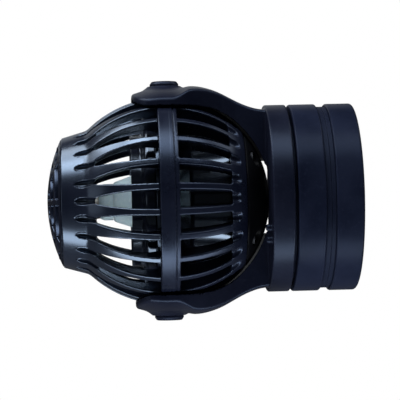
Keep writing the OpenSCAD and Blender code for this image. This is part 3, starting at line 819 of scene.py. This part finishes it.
# propeller duct with its rounded shoulder
DUCT = [
    (-13.4, 23.2, 0.3), (-13.4, 24.5, 0.4), (-9.3, 24.5, 1.2), (-8.9, 28.0, 1.4),
    (-8.8, 31.9, 2.1), (-4.9, 31.9, 0.6), (-4.7, 31.4, 0.3), (-4.2, 31.4, 0.2),
    (-4.1, 31.9, 0.2), (0.2, 31.9, 0.05), (0.2, 33.9, 0.15), (1.2, 33.9, 0.15),
    (1.2, 31.9, 0.05), (3.6, 31.9, 0.2), (3.6, 30.3, 0.2), (-4.4, 30.3, 0.6), (-4.4, 23.2, 0.3),
]
place(turned("propeller_duct_shell", DUCT, axis_x=PIVOT, seg=10),
      "pump", "glossy_plastic", "propeller_duct", material="glossy_plastic_duct")

MOTOR_DRUM = [
    (2, 11, 0.2), (2, 12.6, 0.4), (8.2, 24.5, 2.6), (23.3, 24.5, 0.2), (23.3, 25.8, 0.2),
    (24.75, 25.8, 0.1), (24.75, 24.5, 0.1), (28.45, 24.5, 0.3), (28.45, 22, 0.1),
    (10.4, 22, 0.5), (4.9, 12.2, 0.3), (28, 12.2, 0.2), (28, 0, 0), (27.2, 0, 0),
    (27.2, 3.05, 0.05), (25.4, 3.05, 0.05), (25.4, 11, 0.3),
]
place(turned("motor_drum", MOTOR_DRUM, axis_x=PIVOT, seg=8),
      "pump", "glossy_plastic", "motor_housing")

NOSE_CONE = [
    (-25.4, 3.2, 0.15), (-25.4, 4.9, 0.8), (-24.6, 6.3, 1.0), (-23.4, 6.8, 0.8),
    (-20.02, 6.8, 0.1), (-20.02, 3.2, 0.05),
]
place(turned("propeller_nose_cone", NOSE_CONE, axis_x=PIVOT, seg=8),
      "rotor", "propeller_plastic", "propeller_nose")

CUSHION = [(-33.9, 1.56, 0.05), (-33.9, 2.6, 0.2), (-27.2, 2.6, 0.5), (-27.2, 1.56, 0.1)]
place(turned("front_cushion_rubber", CUSHION, axis_x=PIVOT, steps=64),
      "front_cage", "olive_rubber", "front_shaft_cushion")


def upright_pair(name, points):
    """Turns (height, radius, fillet) about the swing axis, at the top and again at the bottom."""
    obj = turned(name, points, steps=96)
    co = np.zeros(len(obj.data.vertices) * 3)
    obj.data.vertices.foreach_get("co", co)
    co = co.reshape(-1, 3)
    verts, faces = [], []
    for i, side in enumerate((1, -1)):
        verts.append(np.stack([co[:, 1] + PIVOT * MM, co[:, 2] * side, co[:, 0] * side], 1))
        faces += [[v + i * len(co) for v in poly.vertices] for poly in obj.data.polygons]
    mesh = bpy.data.meshes.new(name)
    mesh.from_pydata(np.concatenate(verts).tolist(), [], faces)
    bm = bmesh.new()
    bm.from_mesh(mesh)
    bmesh.ops.recalc_face_normals(bm, faces=bm.faces)
    bm.to_mesh(mesh)
    bm.free()
    smooth_faces(mesh)
    mesh.set_sharp_from_angle(angle=math.radians(40))
    obj.data = mesh
    return obj


PIVOT_CAP = [
    (42.5, 0, 0), (42.5, 4.15, 0.08), (42.8, 4.15, 0.05), (42.8, 5.4, 0.3), (43.6, 5.4, 0.3),
    (44.6, 4.7, 0.45), (44.6, 4.1, 0.25), (44.15, 3.7, 0.25), (44.15, 0, 0),
]
place(upright_pair("pivot_cap_discs", PIVOT_CAP), "yoke", "yoke_plastic", "pivot_caps")


def cable_turned(name, points, steps):
    """Turns a profile, then lays its axis along +Y at the cable outlet."""
    obj = turned(name, points, steps=steps)
    shift = Matrix.Translation(((PIVOT + CABLE_X) * MM, 0, 0))
    obj.data.transform(shift @ Matrix.Rotation(math.pi / 2, 4, "Z"))
    return obj


# ribbed cable boot, and the stub of the cable
GLAND = [
    (5.2, 2.25, 0.1), (5.2, 3.8, 0.3), (7.6, 3.8, 0.3), (7.6, 3.0, 0.3), (8.6, 3.0, 0.3),
    (8.6, 3.55, 0.35), (9.9, 3.5, 0.35), (9.9, 2.85, 0.3), (10.9, 2.85, 0.3),
    (10.9, 3.25, 0.35), (12.2, 3.2, 0.35), (12.2, 2.7, 0.3), (13.2, 2.7, 0.3),
    (13.2, 3.0, 0.35), (14.6, 2.9, 0.5), (14.6, 2.25, 0.1),
]
CABLE = [
    (3, 0, 0), (3, 2.2, 0.2), (18, 2.2, 0.15), (18, 1.5, 0.1), (17.8, 1.4, 0.1), (17.8, 0, 0),
]
place(cable_turned("cable_gland_boot", GLAND, steps=64), "pump", "seal_rubber", "cable_gland")
place(cable_turned("power_cable_stub", CABLE, steps=48), "pump", "cable_jacket", "power_cable")

# ------------------------------------------------------------------ stage, in metres
CENTRE_X = -0.045
FLOOR_Z = -0.16
FLOOR_R = 1.3
FLOOR_CORNERS = 64


def build_world():
    """White to the camera, a dim room for everything else."""
    world = bpy.data.worlds.new("studio")
    bpy.context.scene.world = world
    world.use_nodes = True
    tree = world.node_tree
    tree.nodes.clear()
    to_camera = node(tree, "ShaderNodeLightPath").outputs["Is Camera Ray"]
    strength = node(tree, "ShaderNodeMix", data_type="FLOAT")
    for i, value in ((0, to_camera), (2, 0.03), (3, 1.0)):
        feed(tree, strength.inputs[i], value)
    background = node(tree, "ShaderNodeBackground", Color=(1, 1, 1, 1),
                      Strength=strength.outputs[0])
    node(tree, "ShaderNodeOutputWorld", Surface=background.outputs[0])


def floor_material():
    """Paper, pale to the camera only, that fades to white away from the centre."""
    mat = bpy.data.materials.new("floor_paper")
    tree, bsdf, output = principled(mat)
    to_camera = node(tree, "ShaderNodeLightPath").outputs["Is Camera Ray"]
    tone = mix_colour(tree, to_camera, (0.12, 0.12, 0.12, 1), (0.86, 0.85, 0.84, 1))
    feed(tree, bsdf.inputs["Base Color"], tone)
    bsdf.inputs["Roughness"].default_value = 0.7
    white = node(tree, "ShaderNodeEmission", Strength=1.0)
    distance = node(tree, "ShaderNodeVectorMath", operation="LENGTH")
    place_in = node(tree, "ShaderNodeTexCoord").outputs["Object"]
    feed(tree, distance.inputs[0], place_in)
    fade = node(tree, "ShaderNodeMapRange", interpolation_type="SMOOTHSTEP",
                Value=distance.outputs["Value"], **{"From Min": 0.10, "From Max": 0.62})
    to_camera = node(tree, "ShaderNodeLightPath").outputs["Is Camera Ray"]
    seen_fade = math_node(tree, "MULTIPLY", fade.outputs[0], to_camera)
    blend = node(tree, "ShaderNodeMixShader")
    for i, value in enumerate((seen_fade.outputs[0], bsdf.outputs[0], white.outputs[0])):
        feed(tree, blend.inputs[i], value)
    feed(tree, output.inputs[0], blend.outputs[0])
    return mat


def build_floor():
    material = floor_material()
    mesh = bpy.data.meshes.new("floor")
    angles = [2 * math.pi * i / FLOOR_CORNERS for i in range(FLOOR_CORNERS)]
    rim = [(FLOOR_R * math.cos(a), FLOOR_R * math.sin(a), 0) for a in angles]
    mesh.from_pydata(rim, [], [tuple(range(FLOOR_CORNERS))])
    mesh.materials.append(material)
    floor = link_object("floor", mesh)
    floor.location = (CENTRE_X, 0, FLOOR_Z)


def area_light(name, location, target, size, radiance):
    """A rectangular lamp of the given size (width, height), aimed at the target."""
    light = bpy.data.lights.new(name, "AREA")
    light.shape = "RECTANGLE"
    light.size, light.size_y = size
    light.energy = radiance * math.pi * size[0] * size[1]
    light.color = (0.90, 0.95, 1.0)
    lamp = link_object(name, light)
    lamp.location = location
    aim = Vector(target) - Vector(location)
    lamp.rotation_euler = aim.to_track_quat("-Z", "Y").to_euler()
    lamp.visible_camera = False


CENTRE = (CENTRE_X, 0, 0)
LIGHTS = (  # name, location, target, (width, height), radiance
    ("softbox_top", (CENTRE_X, -0.165, 0.34), (CENTRE_X, -0.03, 0.02), (0.50, 0.17), 7.5),
    ("softbox_low", (CENTRE_X, -0.083, FLOOR_Z + 0.004), (CENTRE_X, -0.083, 0), (0.40, 0.070), 9.0),
    ("high_right", (0.75, 0.15, 0.75), CENTRE, (0.5, 0.5), 2.5),
    ("high_left", (-0.85, 0.10, 0.75), CENTRE, (0.5, 0.5), 2.5),
    ("softbox_left", (-0.27, -0.045, 0.33), (-0.09, -0.015, 0.015), (0.30, 0.22), 6.5),
    ("fill_left", (-1.0, -0.1, 0.0), CENTRE, (0.5, 0.5), 0.7),
    ("back_fill", (-0.2, 0.85, 0.40), CENTRE, (0.7, 0.6), 0.45),
    ("fill_right", (0.9, 0.1, 0.1), CENTRE, (0.5, 0.4), 0.8),
)


def build_camera(azimuth, elevation, roll, distance, target, view_width):
    """Looks at the target from the -Y side; view_width is what it sees at the target."""
    data = bpy.data.cameras.new("camera")
    camera = link_object("camera", data)
    back = Vector((
        math.sin(azimuth) * math.cos(elevation),
        -math.cos(azimuth) * math.cos(elevation),
        math.sin(elevation),
    ))
    camera.location = Vector(target) + back * distance
    look = (-back).to_track_quat("-Z", "Y").to_matrix()
    camera.rotation_euler = (Matrix.Rotation(roll, 3, -back) @ look).to_euler()
    data.sensor_width = 36
    data.lens = 36 * distance / view_width
    data.clip_start = 0.01
    bpy.context.scene.camera = camera


build_world()
build_floor()
for light_row in LIGHTS:
    area_light(*light_row)
build_camera(
    azimuth=math.radians(-3.0), elevation=math.radians(-1.0), roll=math.radians(1.4),
    distance=0.65, target=(-0.0455, 0, 0), view_width=0.150,
)
bpy.context.scene.view_settings.view_transform = "Standard"

bpy.context.view_layer.update()
